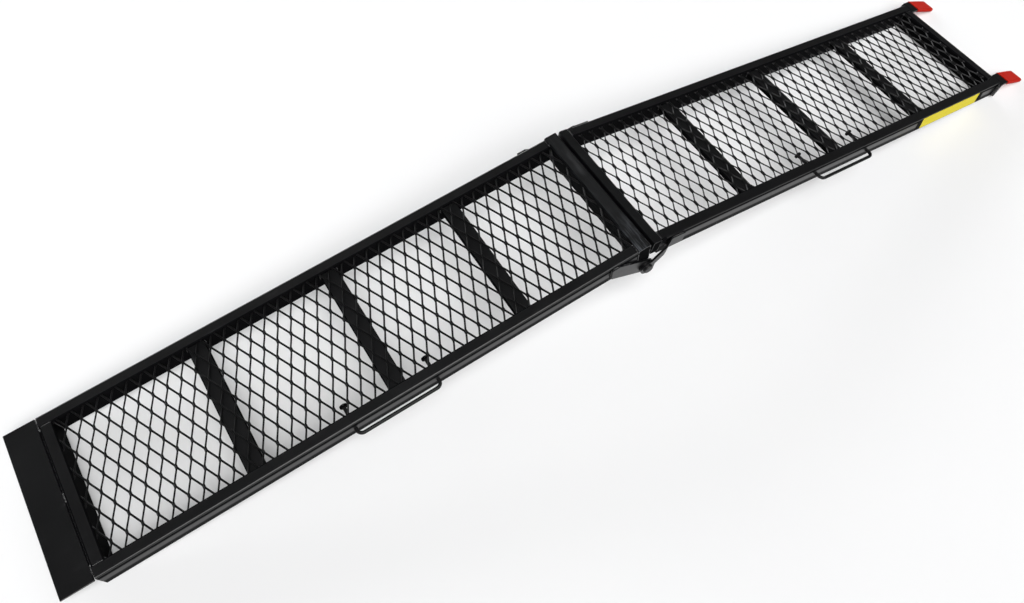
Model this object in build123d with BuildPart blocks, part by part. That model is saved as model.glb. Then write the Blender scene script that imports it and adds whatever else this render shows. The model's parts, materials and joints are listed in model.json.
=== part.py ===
from build123d import *
import os
from math import atan2, cos, radians, sin

# Folding loading ramp: two welded steel sections joined by a hinge under the
# rails, shown opened into a shallow arch that stands on both of its ends.
# Millimetres, +Z up, X along the ramp (ground end at -X, vehicle end at +X),
# Y across it. The origin is the middle of the footprint, on the floor.
# Each section has its own axes: "along" runs from its -X end, "height" is
# measured square to its deck from the top of its rails. Near is -Y, far is +Y.
os.makedirs("parts", exist_ok=True)

# ---------------------------------------------------------------- dimensions
width = 280.0            # over the side rails
tube_w = 20.0            # side rail and end member tube, 20 x 38 x 2
tube_h = 38.0
tube_t = 2.0
tube_r = 3.0             # outside corner radius of the tube
rail_bore_r = 1.3        # inside corner radius of the side rails
lower_len = 960.0        # lower section, ground end face to hinge end face
upper_len = 980.0        # upper section, hinge end face to vehicle end face
arch_deg = 13.16         # angle between the two deck planes when opened
hinge_gap = 7.0          # gap between the two sections at deck level

lower_hinge_w = 25.0     # hinge end member of the lower section
lower_hinge_h = 44.0
lower_hinge_top = 3.0    # stands this much above the rails
upper_hinge_w = 18.0     # hinge end member of the upper section
upper_hinge_h = 30.0     # shallow, so its lower edge is the opening stop
closer_t = 2.5           # plates closing the ends of both hinge members

cross_w = 30.0           # cross tubes, 30 x 10 x 1.5, laid flat
cross_h = 10.0
cross_t = 1.5
cross_r = 2.0
lower_cross_along = (254.5, 492.0, 723.0)
upper_cross_along = (238.5, 474.0, 725.5)

mesh_top = -3.0          # height of the deck sheet's top face
mesh_t = 2.5
mesh_strand = 3.0
mesh_blunt = 2.2         # cut off each long-way point of an opening
lower_mesh_way = (23.45, 50.9)   # diamond: short way along the ramp, long way across
upper_mesh_way = (24.1, 52.7)    # this sheet is stretched a little further
lower_mesh_at = (27.45, 25.35)   # (along, y) of one node of the lattice
upper_mesh_at = (29.3, 3.4)

plate_len = 50.0         # ground plate
plate_gap = 3.0
plate_t = 4.0
plate_top = -3.0
plate_round = 1.2        # rounding of its outer edge
weld_y = (-124.0, -4.0, 123.0)
weld_len = 18.0
weld_rise = 1.0          # crown of a bead above the plate

pivot_along = 953.0      # hinge pivot, in the lower section's own axes
pivot_height = -55.0
bracket_t = 4.0
eye_r = 15.0             # eye of the lower bracket
arm_eye_r = eye_r - 1
arm_strap = 13.0         # width of the dog-leg part of the upper arm
bolt_d = 12.0
bolt_hole = 12.1
washer_d = 24.0
washer_hole = 12.2
washer_t = 1.5           # between bracket and arm, and under the nuts
head_d = 18.0            # low round bolt head
head_h = 4.0
head_round = 1.6
bolt_chamfer = 0.8
nut_h = 7.0
bolt_past_nut = 1.0
hex_af = 18.0            # nut, across flats

rod_d = 6.0              # carry handles
rod_hole = 6.2
leg_along = (406.0, 551.0)
leg_height = -19.0
bend_r = 9.0
lower_grip_y = -152.5    # grip centre lines
upper_grip_y = -156.0
lower_handle_len = 52.0  # grip centre line to stop
upper_handle_len = 64.0
stop_d = 13.0
stop_t = 4.0
stop_round = 0.8

hook_w = 31.0            # hooks at the vehicle end
hook_t = 5.0
hook_top = -1.0          # height of the top face
hook_out = 6.0           # outer edge, outboard of the rail
hook_drop = 33.0         # leg welded to the end face
hook_neck = 20.0
hook_tip = 78.0          # sloping tongue
hook_deg = 14.3
hook_round = 5.0         # corners of the tongue's free end
cap_t = 1.25             # dipped vinyl sleeve
cap_start = 2.0          # open end of the sleeve, from the bend

label_along = (702.0, 936.0)
label_slant = 12.0
label_margin = 3.5       # from the top and bottom of the rail
label_t = 0.3

# ------------------------------------------------------- derived placements
half = width / 2
inner = half - tube_w
lower_rail_end = lower_len - lower_hinge_w

# the tilts put the lower edges of both outer ends on the floor
arch = radians(arch_deg)
run_x = lower_len + hinge_gap + upper_len * cos(arch) - tube_h * sin(arch)
run_z = -upper_len * sin(arch) - tube_h * cos(arch) + tube_h
lower_tilt = atan2(-run_z, run_x)
upper_tilt = arch - lower_tilt
cos_low, sin_low = cos(lower_tilt), sin(lower_tilt)
cos_up, sin_up = cos(upper_tilt), sin(upper_tilt)
cos_hook, sin_hook = cos(radians(hook_deg)), sin(radians(hook_deg))


def lower_point(along, height):
    """World (x, z) before the ramp is centred on the origin."""
    rise = height + tube_h
    return (along * cos_low - rise * sin_low, along * sin_low + rise * cos_low)


low_x, low_z = lower_point(0, 0)
up_x, up_z = lower_point(lower_len + hinge_gap, 0)

# footprint ends: rounded corner of the ground plate, and tip of the hook caps
x_min = lower_point(-plate_gap - plate_len, plate_top)[0] + plate_round * (cos_low + sin_low - 1)
tip_along = upper_len + hook_neck + (hook_tip + cap_t) * cos_hook + cap_t * sin_hook
tip_height = hook_top - (hook_tip + cap_t) * sin_hook + cap_t * cos_hook
x_max = up_x + tip_along * cos_up + tip_height * sin_up
shift = -(x_min + x_max) / 2

# deck planes: local x is "along", local y is world Y, local z is "height"
LOW = Plane(origin=(low_x + shift, 0, low_z), x_dir=(cos_low, 0, sin_low),
            z_dir=(-sin_low, 0, cos_low))
UP = Plane(origin=(up_x + shift, 0, up_z), x_dir=(cos_up, 0, -sin_up),
           z_dir=(sin_up, 0, cos_up))


def side_view(section, origin=None):
    """Plane with local (along, height); offset by d it moves to y = -d."""
    return Plane(origin=origin or section.origin, x_dir=section.x_dir, z_dir=(0, -1, 0))


def end_view(section, along):
    """Cross-section plane: local x is world Y, local y is height."""
    origin = section.from_local_coords((along, 0, 0))
    return Plane(origin=origin, x_dir=(0, 1, 0), z_dir=section.x_dir)


LOW_SIDE = side_view(LOW)
UP_SIDE = side_view(UP)
PIVOT = (pivot_along, pivot_height)
pivot_local = UP.to_local_coords(LOW.from_local_coords((pivot_along, 0, pivot_height)))
UP_PIVOT = (pivot_local.X, pivot_local.Z)
SIDES = (("near", -1), ("far", 1))


def save(piece, name):
    piece.part.label = name
    export_step(piece.part, "parts/" + name + ".step")


# ------------------------------------------------------------- side rails
def rail(section, start, end, side, name):
    """Side tube; the near one is drilled for the handle legs."""
    with BuildPart() as piece:
        with BuildSketch(end_view(section, start)):
            with Locations((side * (half - tube_w / 2), -tube_h / 2)):
                RectangleRounded(tube_w, tube_h, tube_r)
                RectangleRounded(tube_w - 2 * tube_t, tube_h - 2 * tube_t, rail_bore_r,
                                 mode=Mode.SUBTRACT)
        extrude(amount=end - start)
        if side < 0:
            for along in leg_along:
                with BuildSketch(side_view(section).offset(half + 1)):
                    with Locations((along, leg_height)):
                        Circle(rod_hole / 2)
                extrude(amount=-(tube_w + 2), mode=Mode.SUBTRACT)
    save(piece, name)


for place, side in SIDES:
    rail(LOW, 0, lower_rail_end, side, "lower_rail_" + place)
    rail(UP, upper_hinge_w, upper_len, side, "upper_rail_" + place)


# ---------------------------------------------------- members across the ramp
def across(section, middle, top, size, wall, corner, reach, name):
    """Tube across the ramp, reaching equally far to both sides."""
    tube_across, tube_high = size
    with BuildPart() as piece:
        with BuildSketch(side_view(section).offset(-reach)):
            with Locations((middle, top - tube_high / 2)):
                RectangleRounded(tube_across, tube_high, corner)
                RectangleRounded(tube_across - 2 * wall, tube_high - 2 * wall, corner - wall,
                                 mode=Mode.SUBTRACT)
        extrude(amount=2 * reach)
    save(piece, name)


def closing_plates(section, middle, top, size, name):
    """Plates inside both ends of a full-width member."""
    with BuildPart() as piece:
        for at in (-half, half - closer_t):
            with BuildSketch(side_view(section).offset(at)):
                with Locations((middle, top - size[1] / 2)):
                    RectangleRounded(size[0] - 2 * tube_t, size[1] - 2 * tube_t, tube_r - tube_t)
            extrude(amount=closer_t)
    save(piece, name)


end_size = (tube_w, tube_h)
across(LOW, tube_w / 2, 0, end_size, tube_t, tube_r, inner, "lower_end_member")
across(UP, upper_len - tube_w / 2, 0, end_size, tube_t, tube_r, inner, "upper_end_member")

# section, middle along it, top height, (width, height), name
hinge_members = (
    (LOW, lower_len - lower_hinge_w / 2, lower_hinge_top, (lower_hinge_w, lower_hinge_h), "lower"),
    (UP, upper_hinge_w / 2, 0, (upper_hinge_w, upper_hinge_h), "upper"),
)
for section, middle, top, size, which in hinge_members:
    across(section, middle, top, size, tube_t, tube_r, half, which + "_hinge_member")
    closing_plates(section, middle, top, size, which + "_hinge_closers")

for section, which, stations in ((LOW, "lower", lower_cross_along), (UP, "upper", upper_cross_along)):
    for i, along in enumerate(stations, start=1):
        across(section, along, mesh_top - mesh_t, (cross_w, cross_h), cross_t, cross_r, inner,
               "%s_crossmember_%d" % (which, i))


# ----------------------------------------------------- expanded metal decks
def deck(section, start, end, node, way, name):
    half_short, half_long = way[0] / 2, way[1] / 2
    # each opening is the lattice diamond shrunk by half a strand on every
    # side, with its two long-way points cut flat
    shrink = 1 - mesh_strand / 2 * (1 / half_short**2 + 1 / half_long**2) ** 0.5
    open_short, open_long = half_short * shrink, half_long * shrink
    cut = open_long - mesh_blunt
    flat = open_short * (1 - cut / open_long)
    # openings are centred half a short way (and, on the other rows, half a
    # long way) from the nodes
    spots = []
    for i in range(-90, 91):
        for j in range(-12, 13):
            if (i + j) % 2 == 0:
                continue
            x, y = node[0] + i * half_short, node[1] + j * half_long
            if start - half_short < x < end + half_short and abs(y) < inner + half_long:
                spots.append((x, y))
    with BuildPart() as piece:
        with BuildSketch(section.offset(mesh_top - mesh_t)):
            with Locations(((start + end) / 2, 0)):
                Rectangle(end - start, 2 * inner)
            with Locations(*spots):
                Polygon(
                    (open_short, 0), (flat, cut), (-flat, cut),
                    (-open_short, 0), (-flat, -cut), (flat, -cut),
                    align=(Align.CENTER, Align.CENTER), mode=Mode.SUBTRACT,
                )
        extrude(amount=mesh_t)
    # a sliver of strand cut loose at a corner is dropped
    with BuildPart() as kept:
        add(piece.solids().sort_by(SortBy.VOLUME)[-1])
    save(kept, name)


deck(LOW, tube_w, lower_rail_end, lower_mesh_at, lower_mesh_way, "lower_deck_mesh")
deck(UP, upper_hinge_w, upper_len - tube_w, upper_mesh_at, upper_mesh_way, "upper_deck_mesh")

# -------------------------------------------------------------- ground plate
with BuildPart() as ground_plate:
    with BuildSketch(LOW.offset(plate_top - plate_t)):
        with Locations((-plate_gap - plate_len / 2, 0)):
            Rectangle(plate_len, width)
    extrude(amount=plate_t)
    outer_edges = ground_plate.edges().filter_by(Axis.Y).sort_by(Axis.X)[:2]
    fillet(outer_edges, plate_round)
save(ground_plate, "ground_plate")

# three short beads bridge the gap between the plate and the end member
with BuildPart() as plate_welds:
    for y in weld_y:
        with BuildSketch(LOW_SIDE.offset(-y - weld_len / 2)):
            with BuildLine():
                Polyline((-plate_gap, plate_top), (-plate_gap, plate_top - plate_t),
                         (0, plate_top - plate_t), (0, plate_top))
                ThreePointArc((0, plate_top), (-plate_gap / 2, plate_top + weld_rise),
                              (-plate_gap, plate_top))
            make_face()
        extrude(amount=weld_len)
save(plate_welds, "ground_plate_welds")

# ------------------------------------------------------------ hinge brackets
bracket_out = half + bracket_t            # outer face of the lower bracket
arm_in = bracket_out + washer_t           # inner face of the arm's outboard part
arm_out = arm_in + bracket_t
arm_end = UP_PIVOT[0] - 20                # stock end, beyond the eye
arm_depth = 80.0                          # stock, down from the rail top
arm_cut_reach = 170.0                     # side profile cut, each way from y = 0

# (along, height) of the bracket's foot on the lower rail
bracket_foot = ((880, -3), (896, -3), (900, -28), (880, -28))
# (along, distance out from y = 0) of the joggled arm, seen from above
arm_plan = (
    (arm_end, arm_out), (27, arm_out), (38, bracket_out), (68, bracket_out),
    (68, half), (40, half), (29, arm_in), (arm_end, arm_in),
)
# (along, height) of the arm's foot on the upper rail, and the strap's end there
arm_foot = ((26, -15), (36, -4), (68, -4), (68, -27), (34, -27))
strap_end = (34, -17)


def lower_bracket(side, name):
    with BuildPart() as piece:
        with BuildSketch(LOW_SIDE.offset(half if side < 0 else -bracket_out)):
            with BuildLine():
                Polyline(*bracket_foot, close=True)
                CenterArc(PIVOT, eye_r, 0, 360)
            make_hull()
            with Locations(PIVOT):
                Circle(bolt_hole / 2, mode=Mode.SUBTRACT)
        extrude(amount=bracket_t)
    save(piece, name)


def upper_arm(side, name):
    """Strap welded to the upper rail, joggled outboard of the lower bracket."""
    plan = [(along, side * out) for along, out in arm_plan]
    with BuildPart() as piece:
        with BuildSketch(UP.offset(-arm_depth)):
            with BuildLine():
                Polyline(*plan, close=True)
            make_face()
        extrude(amount=arm_depth)
        with BuildSketch(UP_SIDE.offset(-arm_cut_reach)):
            with BuildLine():
                CenterArc(UP_PIVOT, arm_strap / 2, 0, 360)
                CenterArc(strap_end, arm_strap / 2, 0, 360)
            make_hull()
            with Locations(UP_PIVOT):
                Circle(arm_eye_r)
            with BuildLine():
                Polyline(*arm_foot, close=True)
            make_face()
            with Locations(UP_PIVOT):
                Circle(bolt_hole / 2, mode=Mode.SUBTRACT)
        extrude(amount=2 * arm_cut_reach, mode=Mode.INTERSECT)
    save(piece, name)


for place, side in SIDES:
    lower_bracket(side, "lower_bracket_" + place)
    upper_arm(side, "upper_arm_" + place)

# ------------------------------------------------------------- hinge hardware
# The near bolt is pushed in from outside and its nut is under the rail. The
# far bolt is pushed the same way, so its nut is on the outside.
# Places are offsets of the side view, larger towards the near side.
near_nut = half - washer_t - nut_h
far_nut = -arm_out - washer_t - nut_h


def washers(positions, name):
    with BuildPart() as piece:
        for at in positions:
            with BuildSketch(LOW_SIDE.offset(at)):
                with Locations(PIVOT):
                    Circle(washer_d / 2)
                    Circle(washer_hole / 2, mode=Mode.SUBTRACT)
            extrude(amount=washer_t)
    save(piece, name)


def hinge_bolt(head_at, end_at, name):
    """Round-headed bolt, from under its head to its threaded end."""
    with BuildPart() as piece:
        with BuildSketch(LOW_SIDE.offset(head_at)):
            with Locations(PIVOT):
                Circle(head_d / 2)
        extrude(amount=head_h)
        crown = piece.edges().filter_by(GeomType.CIRCLE).sort_by(Axis.Y)[0]
        fillet(crown, head_round)
        with BuildSketch(LOW_SIDE.offset(end_at)):
            with Locations(PIVOT):
                Circle(bolt_d / 2)
        extrude(amount=head_at - end_at)
        tip = piece.edges().filter_by(GeomType.CIRCLE).sort_by(Axis.Y)[-1]
        chamfer(tip, bolt_chamfer)
    save(piece, name)


washers((bracket_out, -arm_in), "hinge_thrust_washers")
washers((half - washer_t, -arm_out - washer_t), "hinge_nut_washers")
hinge_bolt(arm_out, near_nut - bolt_past_nut, "hinge_bolt_near")
hinge_bolt(-half, far_nut - bolt_past_nut, "hinge_bolt_far")

with BuildPart() as hinge_nuts:
    for at in (near_nut, far_nut):
        with BuildSketch(LOW_SIDE.offset(at)):
            with Locations(PIVOT):
                RegularPolygon(hex_af / 2, 6, major_radius=False)
                Circle(bolt_d / 2, mode=Mode.SUBTRACT)
        extrude(amount=nut_h)
save(hinge_nuts, "hinge_nuts")


# -------------------------------------------------------------- carry handles
def handle(section, grip_y, stop_y, name):
    """Bent round bar whose legs slide in holes through the near rail."""
    first, last = leg_along
    leg_end = section.from_local_coords((first, stop_y, leg_height))
    with BuildPart() as piece:
        with BuildLine(section.offset(leg_height)):
            FilletPolyline((first, stop_y), (first, grip_y), (last, grip_y), (last, stop_y),
                           radius=bend_r)
        with BuildSketch(side_view(section, leg_end)):
            Circle(rod_d / 2)
        sweep()
    save(piece, name)


def handle_stops(section, stop_y, name):
    """Discs on the inner ends of the handle's legs."""
    with BuildPart() as piece:
        for along in leg_along:
            with BuildSketch(side_view(section).offset(-stop_y - stop_t)):
                with Locations((along, leg_height)):
                    Circle(stop_d / 2)
            extrude(amount=stop_t)
        fillet(piece.edges().filter_by(GeomType.CIRCLE), stop_round)
    save(piece, name)


for section, which, grip_y, length in (
    (LOW, "lower", lower_grip_y, lower_handle_len),
    (UP, "upper", upper_grip_y, upper_handle_len),
):
    handle(section, grip_y, grip_y + length, which + "_handle")
    handle_stops(section, grip_y + length, which + "_handle_stops")

# -------------------------------------------------------- hooks and their caps
hook_bend = upper_len + hook_neck


def tongue(down, out):
    """Point on the sloping tongue: down along its top face, out of that face."""
    return (hook_bend + down * cos_hook + out * sin_hook,
            hook_top - down * sin_hook + out * cos_hook)


def hook_side(side):
    """Side plane at the +Y edge of a hook."""
    return UP_SIDE.offset(half + hook_out - hook_w if side < 0 else -(half + hook_out))


def tip_edges(part, thickness):
    """The two corner edges, through the thickness, at the tongue's free end."""
    corners = part.edges().filter_by(lambda edge: abs(edge.length - thickness) < 0.01)
    return corners.sort_by(Axis.X)[-2:]


def hook(side, name):
    under = hook_top - hook_t
    foot = hook_top - hook_drop
    with BuildPart() as piece:
        with BuildSketch(hook_side(side)):
            with BuildLine():
                Polyline(
                    (upper_len, hook_top), (hook_bend, hook_top),
                    tongue(hook_tip, 0), tongue(hook_tip, -hook_t),
                    (hook_bend - hook_t * sin_hook / (1 + cos_hook), under),
                    (upper_len + hook_t, under), (upper_len + hook_t, foot),
                    (upper_len, foot),
                    close=True,
                )
            make_face()
        extrude(amount=hook_w)
        fillet(tip_edges(piece, hook_t), hook_round)
    save(piece, name)


def tongue_block(side, start, grow):
    """The tongue from start to its tip, enlarged by grow on all other faces."""
    end, low = hook_tip + grow, -hook_t - grow
    with BuildPart() as block:
        with BuildSketch(hook_side(side).offset(-grow)):
            with BuildLine():
                Polyline(tongue(start, grow), tongue(end, grow), tongue(end, low),
                         tongue(start, low), close=True)
            make_face()
        extrude(amount=hook_w + 2 * grow)
        fillet(tip_edges(block, hook_t + 2 * grow), hook_round + grow)
    return block.part


def hook_cap(side, name):
    """Dipped sleeve round the sloping tongue, open at the neck end."""
    sleeve = tongue_block(side, cap_start, cap_t)
    core = tongue_block(side, 0, 0)
    with BuildPart() as piece:
        add(sleeve)
        add(core, mode=Mode.SUBTRACT)
    save(piece, name)


for place, side in SIDES:
    hook(side, "hook_" + place)
    hook_cap(side, "hook_cap_" + place)

# ------------------------------------------------------------------ side label
label_top = -label_margin
label_bottom = label_margin - tube_h
with BuildPart() as side_label:
    with BuildSketch(UP_SIDE.offset(half)):
        with BuildLine():
            Polyline(
                (label_along[0], label_top), (label_along[1] - label_slant, label_top),
                (label_along[1], label_bottom), (label_along[0] + label_slant, label_bottom),
                close=True,
            )
        make_face()
    extrude(amount=label_t)
save(side_label, "side_label")
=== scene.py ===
"""A steel frame in two hinged sections with expanded-metal decks and two sleeved hooks.

The hinge is at the top, near x = 0. The lower section slopes down from it toward -x, the upper
one toward +x with its hooks at that end. The near side is -y, the far side +y, and the floor z = 0.
"""
import json
import math
from contextlib import contextmanager

import bmesh
import bpy
import numpy as np
from mathutils import Matrix, Vector


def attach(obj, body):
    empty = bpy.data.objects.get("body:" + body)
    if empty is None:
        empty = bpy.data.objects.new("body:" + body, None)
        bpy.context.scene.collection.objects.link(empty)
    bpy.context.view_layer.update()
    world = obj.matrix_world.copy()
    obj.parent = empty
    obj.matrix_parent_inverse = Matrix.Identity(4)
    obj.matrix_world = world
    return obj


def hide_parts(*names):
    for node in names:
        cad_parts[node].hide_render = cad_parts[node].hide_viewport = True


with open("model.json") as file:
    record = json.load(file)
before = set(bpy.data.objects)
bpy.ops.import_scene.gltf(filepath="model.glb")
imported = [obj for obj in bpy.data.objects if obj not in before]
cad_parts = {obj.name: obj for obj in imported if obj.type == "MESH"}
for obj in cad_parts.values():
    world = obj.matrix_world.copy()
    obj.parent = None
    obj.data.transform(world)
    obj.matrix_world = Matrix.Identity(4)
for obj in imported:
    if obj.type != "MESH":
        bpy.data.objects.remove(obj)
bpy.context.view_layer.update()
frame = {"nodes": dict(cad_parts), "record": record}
NODES = frame["nodes"]

# ----------------------------------------------------------------- dimensions
# Millimetres, in each section's own axes: s along it, y across, n up from the rail tops.
HALF, TUBE_W, TUBE_H = 140.0, 20.0, 38.0        # half the frame's width, rail width and height
INNER = HALF - TUBE_W
LOW_LEN, UP_LEN = 960.0, 980.0
LOW_HINGE_W, UP_HINGE_W = 25.0, 18.0            # hinge members, at high s below and low s above
LOW_CROSS, UP_CROSS = (254.5, 492.0, 723.0), (238.5, 474.0, 725.5)    # crossmember middles, s


class Section:
    """One half of the frame, by its origin (world mm) and its tilt (degrees, rising to +x)."""

    def __init__(self, body, origin, tilt):
        c, s = math.cos(math.radians(tilt)), math.sin(math.radians(tilt))
        self.body = body
        self.origin = np.array(origin)
        self.axes = np.array([[c, 0, s], [0, 1, 0], [-s, 0, c]])    # rows: s, y, n

    def world(self, points):
        """(s, y, n) millimetres to world metres."""
        return (self.origin + np.asarray(points, float) @ self.axes) / 1000.0


LOW = Section("lower_section", (-988.13694, 0.0, 37.746307), 6.624328)
UP = Section("upper_section", (-27.592759, 0.0, 149.298393), -6.535672)


# -------------------------------------------------------------- mesh utilities
def add_object(name, data):
    ob = bpy.data.objects.new(name, data)
    bpy.context.scene.collection.objects.link(ob)
    return ob


@contextmanager
def editing(mesh):
    bm = bmesh.new()
    bm.from_mesh(mesh)
    yield bm
    bm.to_mesh(mesh)
    bm.free()
    mesh.update()


def tube_faces(base, ring_count, ring_size):
    """Faces joining consecutive rings of vertices from index base on, with both ends closed."""
    faces = []
    for ring in range(ring_count - 1):
        start = base + ring * ring_size
        above = start + ring_size
        for i in range(ring_size):
            j = (i + 1) % ring_size
            faces.append((start + i, start + j, above + j, above + i))
    last = base + (ring_count - 1) * ring_size
    faces.append(tuple(base + i for i in reversed(range(ring_size))))
    faces.append(tuple(last + i for i in range(ring_size)))
    return faces


def smooth_solid(name, verts, faces):
    mesh = bpy.data.meshes.new(name)
    mesh.from_pydata([tuple(v) for v in verts], [], faces)
    mesh.validate()
    mesh.update()
    mesh.polygons.foreach_set("use_smooth", [True] * len(mesh.polygons))
    ob = add_object(name, mesh)
    with editing(mesh) as bm:
        bmesh.ops.recalc_face_normals(bm, faces=bm.faces)
    return ob


def sharpen(ob, degrees):
    """Smooth shading, with edges over the angle kept sharp."""
    with editing(ob.data) as bm:
        for edge in bm.edges:
            if len(edge.link_faces) == 2:
                edge.smooth = edge.calc_face_angle(0.0) < math.radians(degrees)
        for face in bm.faces:
            face.smooth = True


# ------------------------------------------------------- expanded metal decks
STRAND_TILT = math.radians(50)
STRAND_CHAMFER = 0.3
DECK_N = -3.6
DECK_GRIP = 0.3         # how far the deck runs into the members around it
BOND_EASE = 0.035       # rounding where a strand leaves a bond, as a share of half a diamond
# Strands bond at s = first_s + pitch/2 i + stretch i^2 and y = first_y + way/2 j.
LOW_MESH = dict(pitch=23.946, stretch=-3.33e-3, first_s=47.52, first_y=25.15,
                way=50.8, bond=5.5, width=3.1, thickness=2.5)
UP_MESH = dict(pitch=23.140, stretch=7.71e-3, first_s=33.61, first_y=4.58,
               way=53.2, bond=11.0, width=2.4, thickness=1.8)


def strand_profile(width, thickness):
    """Tilted strand section in (s, n), corners broken."""
    w, t, k = width / 2, thickness / 2, STRAND_CHAMFER
    flat = [(w - k, -t), (w, -t + k), (w, t - k), (w - k, t),
            (-w + k, t), (-w, t - k), (-w, -t + k), (-w + k, -t)]
    c, s = math.cos(STRAND_TILT), math.sin(STRAND_TILT)
    return [(u * c - v * s, u * s + v * c) for u, v in flat]


def strand_steps(bond_share):
    """(share of the way to the next bond, share of the sideways shift) along half a diamond."""
    h, w = bond_share, BOND_EASE
    slope = w / (1 - 2 * h)
    lift = w / 4 / (1 - 2 * h)
    return [(0.0, 0.0), (h - w, 0.0), (h, lift), (h + w, slope), (0.5, 0.5),
            (1 - h - w, 1 - slope), (1 - h, 1 - lift), (1 - h + w, 1.0)]


def trim(bm, s_lo, s_hi):
    """Cut the deck to its opening and close the cut strands."""
    for place, outward in (
        ((0, INNER + DECK_GRIP, 0), (0, 1, 0)),
        ((0, -INNER - DECK_GRIP, 0), (0, -1, 0)),
        ((s_hi + DECK_GRIP, 0, 0), (1, 0, 0)),
        ((s_lo - DECK_GRIP, 0, 0), (-1, 0, 0)),
    ):
        bmesh.ops.bisect_plane(bm, geom=bm.verts[:] + bm.edges[:] + bm.faces[:], dist=1e-4,
                               plane_co=place, plane_no=outward, clear_outer=True)
        cut = [edge for edge in bm.edges if edge.is_boundary]
        bmesh.ops.holes_fill(bm, edges=cut, sides=0)
    bmesh.ops.recalc_face_normals(bm, faces=bm.faces)


def deck(section, name, s_lo, s_hi, pitch, stretch, first_s, first_y, way, bond, width, thickness):
    half_way = way / 2
    profile = strand_profile(width, thickness)
    steps = strand_steps(bond / way)
    shift_s = width / 2 * math.cos(STRAND_TILT)
    shift_n = width / 2 * math.sin(STRAND_TILT)

    def row_s(i):
        return first_s + pitch / 2 * i + stretch * i * i

    def bond_at(row, column):
        """(s, n) of a strand, which bonds in turn with the strands below and above it in s."""
        if (row + column) % 2 == 0:
            return row_s(row) + shift_s, DECK_N + shift_n
        return row_s(row + 1) - shift_s, DECK_N - shift_n

    columns = range(math.floor((-INNER - first_y) / half_way) - 1,
                    math.ceil((INNER - first_y) / half_way) + 1)
    row = math.floor((s_lo - first_s) / (pitch / 2)) - 3
    verts, faces = [], []
    while True:
        base = len(verts)
        for column in columns:
            s_a, n_a = bond_at(row, column)
            s_b, n_b = bond_at(row, column + 1)
            for along, ease in steps:
                s = s_a + (s_b - s_a) * ease
                y = first_y + column * half_way + along * half_way
                n = n_a + (n_b - n_a) * ease
                verts.extend((s + ds, y, n + dn) for ds, dn in profile)
        faces += tube_faces(base, len(columns) * len(steps), len(profile))
        if row_s(row) >= s_hi + pitch:
            break
        row += 1

    mesh = bpy.data.meshes.new(name)
    mesh.from_pydata(verts, [], faces)
    with editing(mesh) as bm:
        trim(bm, s_lo, s_hi)
        placed = section.world([v.co for v in bm.verts])
        for vert, place in zip(bm.verts, placed):
            vert.co = place
    ob = add_object(name, mesh)
    sharpen(ob, 50)
    return ob


# ------------------------------------------------------------ hooks and sleeves
HOOK_W, HOOK_T, HOOK_Y = 31.0, 5.0, 130.5
LEG_S = UP_LEN + HOOK_T / 2                     # the hook's leg lies on the end face
LEG_FOOT_N = -34
BEND_S = 999.69                                 # where the level part meets the tongue
TONGUE_S, TONGUE_N, TONGUE_LEN = 1000.0, -1.0, 76
TONGUE_DROP = math.radians(14.3)
LEG_BEND_R, TONGUE_BEND_R = 5.2, 14.0

SLEEVE_HALF_W, SLEEVE_HALF_T, SLEEVE_END = 16.75, 3.75, 79.6
TIP_PLAN_R, TIP_SIDE_R = 6.4, 3.5
# rolled lip: distance out along the tongue, half width, half thickness
SLEEVE_LIP = [
    (3.0, 15.45, 2.45), (2.1, 15.9, 2.9), (2.0, 16.4, 3.4), (2.5, 16.9, 3.85),
    (3.6, 17.05, 4.0), (5.2, 16.9, 3.85), (8, 16.72, 3.72),
]


def tongue(out, up):
    """(s, n) of a point out along the sloping tongue and up from its top face."""
    c, s = math.cos(TONGUE_DROP), math.sin(TONGUE_DROP)
    return (TONGUE_S + out * c + up * s, TONGUE_N - out * s + up * c)


def bent_path(points, radii, steps=6):
    """Polyline in (s, n) with its corners rounded."""
    points = [np.array(p, float) for p in points]
    path = [points[0]]
    for before, corner, after, radius in zip(points, points[1:], points[2:], radii):
        back = (before - corner) / np.linalg.norm(before - corner)
        ahead = (after - corner) / np.linalg.norm(after - corner)
        half = math.acos(float(np.clip(back @ ahead, -1, 1))) / 2
        middle = (back + ahead) / np.linalg.norm(back + ahead)
        centre = corner + middle * radius / math.sin(half)
        x0, y0 = corner + back * radius / math.tan(half) - centre
        x1, y1 = corner + ahead * radius / math.tan(half) - centre
        turn = math.atan2(x0 * y1 - y0 * x1, x0 * x1 + y0 * y1)
        for i in range(steps + 1):
            c, s = math.cos(turn * i / steps), math.sin(turn * i / steps)
            path.append(centre + np.array([x0 * c - y0 * s, x0 * s + y0 * c]))
    path.append(points[-1])
    return path


def round_rect(half_w, half_t, radius, steps):
    x, y = half_w - radius, half_t - radius
    outline = []
    for corner_x, corner_y, first in ((x, y, 0), (-x, y, 90), (-x, -y, 180), (x, -y, 270)):
        for i in range(steps + 1):
            a = math.radians(first + 90 * i / steps)
            outline.append((corner_x + radius * math.cos(a), corner_y + radius * math.sin(a)))
    return outline


def loft(name, rings, sharp_angle):
    """Closed skin over rings of (s, y, n) points in the upper section."""
    verts = [point for ring in rings for point in ring]
    ob = smooth_solid(name, UP.world(verts), tube_faces(0, len(rings), len(rings[0])))
    sharpen(ob, sharp_angle)
    flat = ob.modifiers.new("flat_faces", "WEIGHTED_NORMAL")
    flat.keep_sharp = True
    return ob


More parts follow.
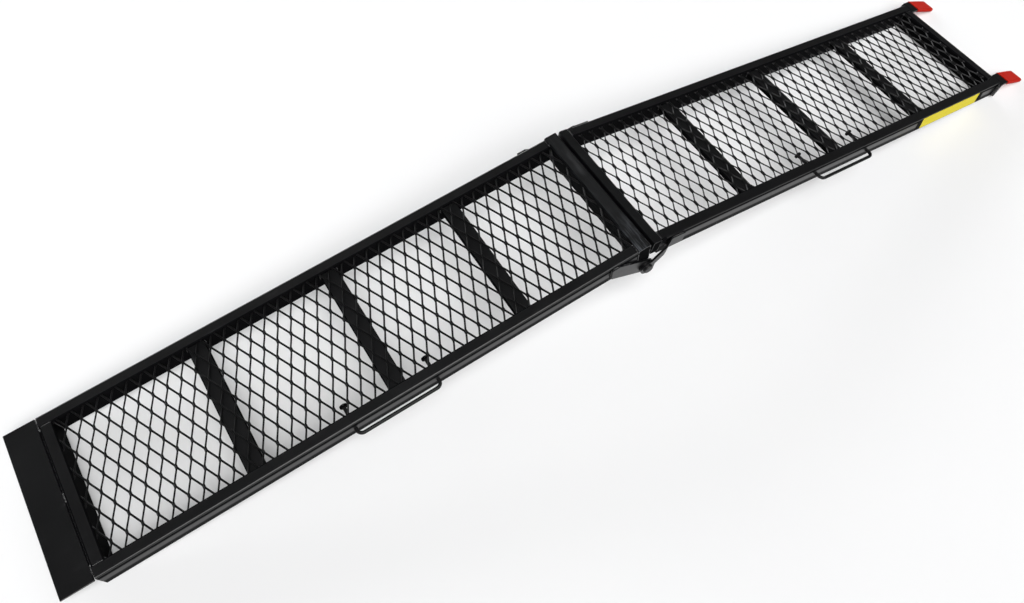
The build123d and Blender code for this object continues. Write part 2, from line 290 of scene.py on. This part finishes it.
def hook_bar(name, y_mid):
    level = TONGUE_N - HOOK_T / 2
    path = bent_path([(LEG_S, LEG_FOOT_N), (LEG_S, level), (BEND_S, level),
                      tongue(TONGUE_LEN, -HOOK_T / 2)], (LEG_BEND_R, TONGUE_BEND_R))
    profile = round_rect(HOOK_W / 2, HOOK_T / 2, radius=0.9, steps=3)
    rings = []
    for i, (s, n) in enumerate(path):
        along = path[min(i + 1, len(path) - 1)] - path[max(i - 1, 0)]
        along /= np.linalg.norm(along)
        rings.append([(s - along[1] * v, y_mid + w, n + along[0] * v) for w, v in profile])
    return loft(name, rings, sharp_angle=35)


def sleeve_stations():
    """Lip, slightly full faces, then a rounded closed tip; columns as in SLEEVE_LIP."""
    stations = list(SLEEVE_LIP)
    for out in (16, 28, 40, 52, 62):
        full = math.sin((out - 8) / 62 * math.pi)
        stations.append((out, SLEEVE_HALF_W + 0.12 * full, SLEEVE_HALF_T + 0.28 * full))
    for degrees in (0, 14, 28, 42, 54, 65, 75, 83, 90):
        a = math.radians(degrees)
        out = SLEEVE_END - TIP_PLAN_R + TIP_PLAN_R * math.sin(a)
        half_w = SLEEVE_HALF_W - TIP_PLAN_R + TIP_PLAN_R * math.cos(a)
        x = max(0.0, (out - (SLEEVE_END - TIP_SIDE_R)) / TIP_SIDE_R)
        half_t = SLEEVE_HALF_T * (0.30 + 0.70 * math.sqrt(max(0.0, 1 - x * x)))
        stations.append((out, half_w, half_t))
    return stations


def sleeve(name, y_mid):
    rings = []
    for out, half_w, half_t in sleeve_stations():
        ring = []
        for w, v in round_rect(half_w, half_t, radius=min(2.9, 0.82 * half_t), steps=5):
            s, n = tongue(out, -HOOK_T / 2 + v)
            ring.append((s, y_mid + w, n))
        rings.append(ring)
    return loft(name, rings, sharp_angle=60)


# ------------------------------------------------------------------ weld beads
class Beads:
    """Collects the lumpy weld beads of one section into one mesh."""

    STEP, SIDES, FIRST_SEED = 0.55, 12, 1001

    def __init__(self, section):
        self.section, self.verts, self.faces = section, [], []
        self.count = 0

    def run(self, start, end, radius, lump=2.6, squash=0.75):
        """Straight bead; lump is the ripple length, squash flattens the section."""
        rng = np.random.default_rng(self.FIRST_SEED + self.count)
        self.count += 1
        start, end = np.array(start, float), np.array(end, float)
        length = np.linalg.norm(end - start)
        along = (end - start) / length
        up = np.array([0, 0, 1.0]) if abs(along[2]) < 0.9 else np.array([0, 1.0, 0])
        across = np.cross(up, along)
        across /= np.linalg.norm(across)
        rise = np.cross(along, across)
        steps = max(6, int(length / self.STEP))
        phase = rng.uniform(0, 6.28)
        base = len(self.verts)
        for i in range(steps + 1):
            d = length * i / steps
            from_end = min(1.0, min(d, length - d) / (1.3 * radius))
            taper = math.sqrt(max(0.0, 1 - (1 - from_end) ** 2))
            ripple = 0.13 * math.cos(2 * math.pi * d / lump + phase)
            wave = 1 + ripple + 0.05 * rng.standard_normal()
            r = max(0.05, radius * taper * wave)
            for side in range(self.SIDES):
                a = 2 * math.pi * side / self.SIDES
                offset = math.cos(a) * across + math.sin(a) * rise * squash ** 0.5
                self.verts.append(start + along * d + r * offset)
        self.faces += tube_faces(base, steps + 1, self.SIDES)

    def run_both_sides(self, table):
        """The table's beads at the near side, then at the far side."""
        for side in (-1, 1):
            mirror = np.array([1, side, 1])
            for start, end, *shape in table:
                self.run(start * mirror, end * mirror, *shape)

    def make(self, name):
        return smooth_solid(name, self.section.world(self.verts), self.faces)


RAIL_IN, RAIL_OUT = INNER - 0.4, HALF + 1.2     # bead middles on the rails' side faces
LOW_END_S, LOW_HINGE_S = TUBE_W + 0.4, LOW_LEN - LOW_HINGE_W - 0.4
UP_END_S, UP_HINGE_S = UP_LEN - TUBE_W - 0.4, UP_HINGE_W + 0.4


def upright(s, y, top, bottom, *shape):
    return ((s, y, top), (s, y, bottom), *shape)


def crosswise(s, y0, y1, n, *shape):
    return ((s, y0, n), (s, y1, n), *shape)


def lengthwise(s0, s1, y, n, *shape):
    return ((s0, y, n), (s1, y, n), *shape)


def cross_tube_beads(middles):
    """Both sides and the underside of each crossmember, at the rail."""
    table = []
    for s in middles:
        table += [upright(s + side, RAIL_IN, -6.5, -15, 1.7) for side in (-15.2, 15.2)]
        table.append(lengthwise(s - 12, s + 12, RAIL_IN, -15.6, 1.6))
    return table


# Far-side beads: place, then radius and, where given, lump and squash. The order sets the seeds.
LOW_BEADS = [
    # end member
    upright(LOW_END_S, RAIL_IN, -3, -36, 2.0),
    lengthwise(1.5, 19, INNER, -1.6, 1.9),
    upright(-0.2, INNER, -3, -35, 1.5),
    # hinge member
    crosswise(LOW_HINGE_S, 121.5, 138, 0.2, 1.9),
    upright(934.8, HALF, -4, -34, 1.6),
    upright(LOW_HINGE_S, RAIL_IN, -3, -36, 2.0),
    *cross_tube_beads(LOW_CROSS),
    # bracket to rail
    lengthwise(882, 895, RAIL_OUT, -2.7, 2.0),
    ((903, RAIL_OUT, -7.5), (919, RAIL_OUT, -17), 2.2),
    upright(879.6, RAIL_OUT, -4.5, -26, 1.7),
]
UP_BEADS = [
    # end member
    upright(UP_END_S, RAIL_IN, -3, -36, 2.0),
    lengthwise(961, 978.5, INNER, -1.6, 1.9),
    # hinge member
    upright(UP_HINGE_S, RAIL_IN, -3, -29, 2.0),
    crosswise(18.2, 121.5, 138, -1.2, 1.8),
    crosswise(18.2, 122, 138, -30.6, 1.8),
    *cross_tube_beads(UP_CROSS),
    # arm to rail
    lengthwise(40, 66, RAIL_OUT, -3.7, 1.9),
    upright(68.4, RAIL_OUT, -5.5, -25.5, 1.7),
    # hook leg to end face
    upright(980.4, 114.8, -7, -33, 1.8),
    upright(978.6, RAIL_OUT, -3.2, -34.2, 4.3, 40, 1.0),
    crosswise(980.6, 116.5, 139.5, -2.6, 2.0),
    crosswise(981, 117, 138, -34.4, 1.7),
]


# ---------------------------------------------------------------- shader tools
class Graph:
    """Short ways to add nodes to a node tree; ramp stops are (position, grey or colour)."""

    def __init__(self, tree):
        self.tree = tree

    def node(self, kind):
        return self.tree.nodes.new("ShaderNode" + kind)

    def feed(self, socket, value):
        if isinstance(value, bpy.types.NodeSocket):
            self.tree.links.new(value, socket)
        else:
            socket.default_value = value

    def math(self, operation, a, b=None, clamp=False):
        node = self.node("Math")
        node.operation = operation
        node.use_clamp = clamp
        self.feed(node.inputs[0], a)
        if b is not None:
            self.feed(node.inputs[1], b)
        return node.outputs[0]

    def times(self, a, b):
        return self.math("MULTIPLY", a, b)

    def plus(self, a, b, clamp=False):
        return self.math("ADD", a, b, clamp)

    def minus(self, a, b):
        return self.math("SUBTRACT", a, b)

    def split(self, vector):
        node = self.node("SeparateXYZ")
        self.feed(node.inputs[0], vector)
        return node.outputs

    def dot(self, vector, axis):
        node = self.node("VectorMath")
        node.operation = "DOT_PRODUCT"
        self.feed(node.inputs[0], vector)
        node.inputs[1].default_value = tuple(axis)
        return node.outputs["Value"]

    def ramp(self, value, *stops):
        node = self.node("ValToRGB")
        elements = node.color_ramp.elements
        while len(elements) < len(stops):
            elements.new(0.5)
        for element, (position, colour) in zip(elements, stops):
            element.position = position
            element.color = (*(colour if isinstance(colour, tuple) else (colour,) * 3), 1)
        self.feed(node.inputs[0], value)
        return node.outputs[0]

    def mix(self, factor, a, b):
        node = self.node("Mix")
        node.data_type = "RGBA"
        self.feed(node.inputs["Factor"], factor)
        for socket, colour in ((node.inputs[6], a), (node.inputs[7], b)):
            self.feed(socket, (*colour, 1) if isinstance(colour, tuple) else colour)
        return node.outputs[2]


class Surface(Graph):
    """A new material with one Principled shader, textured by position in metres."""

    def __init__(self, name):
        self.material = bpy.data.materials.new(name)
        self.material.use_nodes = True
        super().__init__(self.material.node_tree)
        self.tree.nodes.clear()
        output = self.node("OutputMaterial")
        shader = self.node("BsdfPrincipled")
        self.feed(output.inputs[0], shader.outputs[0])
        self.inputs = shader.inputs
        self.position = self.node("TexCoord").outputs["Object"]
        self.normal = None

    def set(self, name, value):
        self.feed(self.inputs[name], value)

    def noise(self, scale, detail=3.0, rough=0.55, stretch=None):
        vector = self.position
        if stretch:
            mapping = self.node("Mapping")
            mapping.inputs["Scale"].default_value = stretch
            self.feed(mapping.inputs["Vector"], vector)
            vector = mapping.outputs[0]
        node = self.node("TexNoise")
        self.feed(node.inputs["Scale"], scale)
        self.feed(node.inputs["Detail"], detail)
        self.feed(node.inputs["Roughness"], rough)
        self.feed(node.inputs["Vector"], vector)
        return node.outputs["Fac"]

    def bump(self, height, strength, distance):
        """Adds relief, distance in metres, over any bump already there."""
        node = self.node("Bump")
        self.feed(node.inputs["Strength"], strength)
        self.feed(node.inputs["Distance"], distance)
        self.feed(node.inputs["Height"], height)
        if self.normal:
            self.feed(node.inputs["Normal"], self.normal)
        self.normal = node.outputs[0]
        self.set("Normal", self.normal)


# ------------------------------------------------------------------- materials
def rail_depth(coat):
    """Depth below the rail tops: 0 at the top, 1 at the underside of a rail."""
    low, up = (
        coat.plus(coat.dot(coat.position, [float(x) * -1000 / TUBE_H for x in section.axes[2]]),
                  float(np.dot(section.origin, section.axes[2])) / TUBE_H)
        for section in (LOW, UP)
    )
    on_upper = coat.math("GREATER_THAN", coat.split(coat.position)[0], 0.0)
    return coat.plus(coat.times(up, on_upper), coat.times(low, coat.minus(1.0, on_upper)))


def rubbed(coat, colour, amount):
    """Pale lines running across the frame, stronger toward the near side."""
    y = coat.split(coat.position)[1]
    toward_near = coat.ramp(coat.times(y, -5.0), (0.30, 0.12), (0.62, 1.0))
    lines = coat.ramp(coat.noise(scale=420, rough=0.6, stretch=(1.0, 0.07, 1.0)),
                      (0.50, 0.0), (0.62, 1.0))
    share = coat.times(coat.times(lines, toward_near), amount)
    return coat.mix(share, colour, (0.085, 0.09, 0.10))


def painted_shade_coat(coat, roughness, within, lips):
    """Painted shade: a duller, less reflective coat where |y| < within (mm), so the inner faces
    look shaded, and dark bands on the outer lips under the top edge and along the bottom, standing
    in for dark reflections; upward faces keep theirs.
    """
    y = coat.split(coat.position)[1]
    painted_shade = coat.math("LESS_THAN", coat.math("ABSOLUTE", y), within / 1000)
    if lips:
        outer = coat.math("GREATER_THAN", coat.math("ABSOLUTE", y), (INNER + 14.0) / 1000)
        # painted shade bands: just under the top edge highlight and along the bottom of the outer
        # faces
        shade_bands = coat.ramp(rail_depth(coat), (0.06, 0.0), (0.10, 1.0), (0.22, 1.0), (0.32, 0.0),
                          (0.56, 0.0), (0.68, 0.8), (1.0, 0.8))
        painted_shade = coat.math("MAXIMUM", painted_shade, coat.times(outer, shade_bands))
    facing_z = coat.split(coat.node("NewGeometry").outputs["Normal"])[2]
    painted_shade = coat.times(painted_shade, coat.math("LESS_THAN", facing_z, 0.97))
    # the painted shade lowers the reflection and raises the roughness
    coat.set("Specular IOR Level", coat.minus(0.5, coat.times(painted_shade, 0.44)))
    coat.set("IOR", coat.minus(1.5, coat.times(painted_shade, 0.4)))
    coat.set("Roughness", coat.plus(roughness, coat.times(painted_shade, 0.14), clamp=True))


def powder_coat(name, base=(0.0034, 0.0034, 0.0038), rough=(0.27, 0.37), scuff=0.5, peel=1.0,
                specular=0.5, streak_stretch=(0.18, 1.0, 1.0), rub=0.0,
                shade_within=None, shade_lips=False):
    """rough: lowest and highest; scuff, peel, rub: strengths of wear, orange peel and rubbing."""
    coat = Surface(name)
    cloud = coat.noise(scale=14, detail=4.0, rough=0.6)
    streaks = coat.noise(scale=60, detail=5.0, rough=0.65, stretch=streak_stretch)
    dust = coat.ramp(cloud, (0.35, 0.0), (0.72, 1.0))
    wear = coat.ramp(streaks, (0.60, 0.0), (0.74, 1.0))
    grain = coat.ramp(coat.noise(scale=900, detail=1.0, rough=0.5), (0.70, 0.0), (0.76, 1.0))
    dusty = tuple(x * 1.8 + 0.001 for x in base)
    colour = coat.mix(coat.times(dust, 0.35), base, dusty)
    colour = coat.mix(coat.times(wear, 0.30 * scuff), colour, (0.028, 0.028, 0.030))
    colour = coat.mix(coat.times(grain, 0.25 * scuff), colour, (0.045, 0.045, 0.045))
    if rub:
        colour = rubbed(coat, colour, rub)
    coat.set("Base Color", colour)
    roughness = coat.plus(coat.times(cloud, rough[1] - rough[0]), rough[0])
    roughness = coat.plus(roughness, coat.times(wear, 0.12), clamp=True)
    coat.set("Roughness", roughness)
    coat.set("IOR", 1.5)
    coat.set("Specular IOR Level", specular)
    # painted shade on inner faces and outer lips, where asked for
    if shade_within:
        painted_shade_coat(coat, roughness, shade_within, shade_lips)
    coat.bump(coat.noise(scale=620, detail=2.5, rough=0.5), strength=0.30 * peel, distance=0.00025)
    coat.bump(coat.noise(scale=2600, detail=2.0, rough=0.5), strength=0.12, distance=0.00008)
    return coat.material


def black_oxide(name):
    oxide = Surface(name)
    cloud = oxide.noise(scale=160, detail=4.0, rough=0.6)
    oxide.set("Base Color", oxide.ramp(cloud, (0.3, (0.018, 0.018, 0.02)),
                                       (0.7, (0.07, 0.068, 0.066))))
    oxide.set("Metallic", 0.85)
    oxide.set("Roughness", oxide.ramp(cloud, (0.2, 0.34), (0.8, 0.52)))
    oxide.bump(oxide.noise(scale=2400, detail=2.0, rough=0.5), strength=0.2, distance=0.00006)
    return oxide.material


def dipped_vinyl(name):
    vinyl = Surface(name)
    cloud = vinyl.noise(scale=45, rough=0.5)
    scuff = vinyl.ramp(vinyl.noise(scale=320, detail=4.0, rough=0.6, stretch=(0.3, 1.0, 1.0)),
                       (0.66, 0.0), (0.76, 1.0))
    red = vinyl.mix(cloud, (0.40, 0.009, 0.004), (0.52, 0.016, 0.006))
    vinyl.set("Base Color", vinyl.mix(vinyl.times(scuff, 0.12), red, (0.75, 0.16, 0.10)))
    vinyl.set("Roughness", vinyl.ramp(cloud, (0.2, 0.62), (0.8, 0.76)))
    vinyl.set("Specular IOR Level", 0.08)
    vinyl.set("Subsurface Weight", 0.04)
    vinyl.set("Subsurface Radius", (0.002, 0.0004, 0.0002))
    vinyl.bump(vinyl.noise(scale=120, detail=2.0, rough=0.45), strength=0.35, distance=0.0006)
    vinyl.bump(vinyl.noise(scale=1500, detail=2.0, rough=0.5), strength=0.06, distance=0.0001)
    return vinyl.material


# Sticker on the upper rail: its ends along s, how far they slant, and its margin in n.
LABEL_S, LABEL_SLANT, LABEL_MARGIN = (702.0, 936.0), 12.0, 3.5
LABEL_DARK = (16.0, 15.0)                       # lengths of the dark ends


def sticker(name):
    """Plain yellow vinyl with dark slanted ends and no lettering."""
    label = Surface(name)
    s, n = (
        label.minus(label.dot(label.position, axis), float(np.dot(axis, UP.origin / 1000)))
        for axis in (UP.axes[0], UP.axes[2])
    )
    lean = LABEL_SLANT / (TUBE_H - 2 * LABEL_MARGIN)
    along = label.plus(s, label.times(label.plus(n, LABEL_MARGIN / 1000), lean))
    dark_from = (LABEL_S[1] - LABEL_SLANT - LABEL_DARK[1]) / 1000
    ends = label.plus(label.math("LESS_THAN", along, (LABEL_S[0] + LABEL_DARK[0]) / 1000),
                      label.math("GREATER_THAN", along, dark_from), clamp=True)
    cloud = label.noise(scale=40, detail=4.0, rough=0.6)
    scratches = label.ramp(label.noise(scale=240, detail=4.0, rough=0.7, stretch=(0.15, 1, 1)),
                           (0.64, 0.0), (0.70, 1.0))
    yellow = label.mix(cloud, (0.72, 0.60, 0.006), (0.78, 0.66, 0.012))
    worn = label.mix(label.times(scratches, 0.30), yellow, (0.55, 0.42, 0.10))
    label.set("Base Color", label.mix(ends, worn, (0.014, 0.014, 0.014)))
    rough = label.ramp(cloud, (0.2, 0.44), (0.8, 0.56))
    label.set("Roughness", label.plus(rough, label.times(ends, 0.35), clamp=True))
    label.set("Specular IOR Level", label.minus(0.16, label.times(ends, 0.14)))
    label.bump(label.noise(scale=900, detail=2.0, rough=0.5), strength=0.05, distance=0.00008)
    return label.material


def floor_material(name):
    pale = Surface(name)
    cloud = pale.noise(scale=1.6, rough=0.5)
    pale.set("Base Color", pale.mix(cloud, (0.76, 0.76, 0.765), (0.80, 0.80, 0.80)))
    # a glow only the camera sees, to keep shadows light
    pale.set("Emission Color", (1, 1, 1, 1))
    seen = pale.node("LightPath").outputs["Is Camera Ray"]
    pale.set("Emission Strength", pale.times(seen, 0.14))
    pale.set("Roughness", 0.75)
    pale.set("Specular IOR Level", 0.25)
    pale.bump(pale.noise(scale=300, rough=0.6), strength=0.05, distance=0.0002)
    return pale.material


MATERIALS = {
    "black_powder_coat": powder_coat("black_powder_coat"),
    "mesh_black": powder_coat("mesh_black", base=(0.0028, 0.0028, 0.0031), rough=(0.38, 0.50),
                              scuff=0.15, specular=0.28),
    "handle_black": powder_coat("handle_black", rough=(0.48, 0.60), scuff=0.3, peel=0.7,
                                specular=0.3),
    "dark_hardware": black_oxide("dark_hardware"),
    "red_vinyl": dipped_vinyl("red_vinyl"),
    "yellow_sticker": sticker("yellow_sticker"),
}
# painted shade on the inner faces and in bands on the rails' outer lips
SHADE_INSIDE = dict(shade_within=INNER + 3.4, shade_lips=True)
SHADED_INSIDE = powder_coat("black_powder_coat_shaded_inside", **SHADE_INSIDE)
# painted shade on every face that does not face up
SHADED = powder_coat("black_powder_coat_shaded", shade_within=500.0)
# real scuffs and rubbing, with the same painted shade on inner faces and lips
WORN_AND_SHADED = powder_coat("black_powder_coat_worn_shaded", base=(0.0044, 0.0046, 0.0050), rough=(0.26, 0.42),
                   scuff=2.0, streak_stretch=(1.0, 0.14, 1.0), rub=0.7, **SHADE_INSIDE)
WELD = powder_coat("black_powder_coat_weld", rough=(0.16, 0.28), scuff=2.6, peel=1.6)


def dress(ob, material):
    ob.data.materials.clear()
    ob.data.materials.append(material)


for part in frame["record"]["subparts"]:
    dress(NODES[part["node"]], MATERIALS[part["material_slot"]])
# the lower hinge member: a scuffed and rubbed coat, with painted shade on its inner faces
dress(NODES["lower_hinge_member"], WORN_AND_SHADED)
# painted shade: the members take the coat darkened on inner faces and outer lips; the hinge closers
# and handle stops are darkened all over
for half in ("lower", "upper"):
    for member in ("rail_near", "rail_far", "end_member",
                   "crossmember_1", "crossmember_2", "crossmember_3"):
        dress(NODES[f"{half}_{member}"], SHADED_INSIDE)
    for member in ("hinge_closers", "handle_stops"):
        dress(NODES[f"{half}_{member}"], SHADED)


# ----------------------------------------------------------------- the pieces
def piece(ob, section, slot, *nodes, material=None):
    """Dresses an object and hands it to the frame in place of the named nodes."""
    dress(ob, material or MATERIALS[slot])
    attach(ob, section.body)
    if nodes:
        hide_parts(*nodes)


piece(deck(LOW, "lower_deck_expanded", TUBE_W, LOW_LEN - LOW_HINGE_W, **LOW_MESH),
      LOW, "mesh_black", "lower_deck_mesh")
piece(deck(UP, "upper_deck_expanded", UP_HINGE_W, UP_LEN - TUBE_W, **UP_MESH),
      UP, "mesh_black", "upper_deck_mesh")

for side, y_mid in (("near", -HOOK_Y), ("far", HOOK_Y)):
    piece(hook_bar(f"hook_{side}_bent", y_mid), UP, "black_powder_coat", f"hook_{side}")
    piece(sleeve(f"hook_sleeve_{side}", y_mid), UP, "red_vinyl", f"hook_cap_{side}")

for section, name, table in ((LOW, "lower_weld_beads", LOW_BEADS),
                             (UP, "upper_weld_beads", UP_BEADS)):
    beads = Beads(section)
    beads.run_both_sides(table)
    piece(beads.make(name), section, "black_powder_coat", material=WELD)

# ground plate: one long bead along its root, and three short ones
PLATE_S = -1.5
root = Beads(LOW)
root.run(*crosswise(PLATE_S, -132, 132, -6.0, 2.1), lump=4.0)
# painted shade all over the root bead
piece(root.make("plate_root_bead"), LOW, "black_powder_coat", material=SHADED)

plate = Beads(LOW)
for y in (-124.0, -4.0, 123.0):
    plate.run(*crosswise(PLATE_S, y - 8.5, y + 8.5, -4.6, 2.9), lump=3.2)
piece(plate.make("plate_weld_beads"), LOW, "black_powder_coat", "ground_plate_welds",
      material=WELD)

# ------------------------------------------------------------ floor and lights
SKY_BAND, SKY_NEAR, SKY_BASE = 9.0, 0.01, 0.06  # band strength, its near-side share, all-round glow


def light_world():
    """A low band of light on the far side; the camera itself sees a pale backdrop."""
    world = bpy.data.worlds.new("studio")
    bpy.context.scene.world = world
    world.use_nodes = True
    sky = Graph(world.node_tree)
    x, y, z = sky.split(sky.node("TexCoord").outputs["Generated"])
    low = sky.ramp(z, (0.0, 1.0), (0.27, 1.0), (0.40, 0.0))
    off_ends = sky.ramp(sky.math("ABSOLUTE", x), (0.30, 1.0), (0.62, 0.0))
    far_side = sky.ramp(sky.plus(y, 0.5), (0.30, SKY_NEAR), (0.62, 1.0))
    band = sky.times(sky.times(low, off_ends), far_side)
    glow = sky.plus(sky.times(band, SKY_BAND), SKY_BASE)
    seen = sky.node("LightPath").outputs["Is Camera Ray"]
    background = world.node_tree.nodes["Background"]
    background.inputs[0].default_value = (0.98, 0.99, 1.0, 1)
    sky.feed(background.inputs[1], sky.plus(sky.times(glow, sky.minus(1.0, seen)), seen))


bpy.ops.mesh.primitive_plane_add(size=30, location=(0, 0, 0))
floor = bpy.context.object
floor.name = "floor"
floor.data.materials.append(floor_material("floor_pale"))

light_world()

sun = bpy.data.lights.new("wide_near", "SUN")
sun.angle = math.radians(52)
sun.energy = 3.3
toward_sun = Vector((-0.10, -0.52, 0.85))
add_object("wide_near", sun).rotation_euler = toward_sun.to_track_quat("Z", "Y").to_euler()

# -------------------------------------------------------------------- camera
# Both in the lower section's axes; the rows point right, down and forward in the view.
CAMERA_PLACE = (449.3907, -606.4964, 1133.4783)
CAMERA_AXES = np.array([
    [0.8419027848, -0.5378739295, -0.0434895033],
    [-0.4974432523, -0.7423239599, -0.4488934720],
    [0.2091647954, 0.3995582241, -0.8925263659],
])
lens = bpy.data.cameras.new("camera")
lens.sensor_width = 36.0
lens.lens = 27.940036
lens.shift_x = -0.00027138672
lens.shift_y = -0.00019873047
lens.clip_start = 0.01
camera = add_object("camera", lens)
right, down, forward = CAMERA_AXES @ LOW.axes
camera.matrix_world = Matrix([*zip(right, -down, -forward, LOW.world(CAMERA_PLACE)), (0, 0, 0, 1)])

scene = bpy.context.scene
scene.camera = camera
scene.view_settings.view_transform = "Standard"
scene.view_settings.look = "None"
scene.view_settings.exposure = 0.0
scene.view_settings.gamma = 1.0
